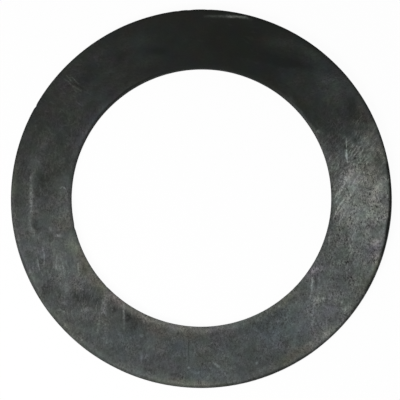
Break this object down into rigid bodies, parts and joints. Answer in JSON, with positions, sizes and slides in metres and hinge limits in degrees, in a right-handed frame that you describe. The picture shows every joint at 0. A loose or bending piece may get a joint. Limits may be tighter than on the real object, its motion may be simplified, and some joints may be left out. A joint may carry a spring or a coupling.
{
  "type": "rubber gasket",
  "caption": "Flat round rubber ring with a wide bore, clamped between two pipe flanges inside their bolts to seal the joint.",
  "frame": {"origin": "centre of the bore, in the plane that the ring lies on", "axes": "+Z along the bore's axis, up to the top face with the rolled edges; the ring is round, and +Y is the picture's top"},
  "size_m": [0.132, 0.132, 0.003],
  "materials": {
    "rubber": "matte black sheet rubber, scuffed and dusty, with a fine grain"
  },
  "bodies": {
    "root": {"gasket_ring": "rubber"}
  },
  "joints": []
}
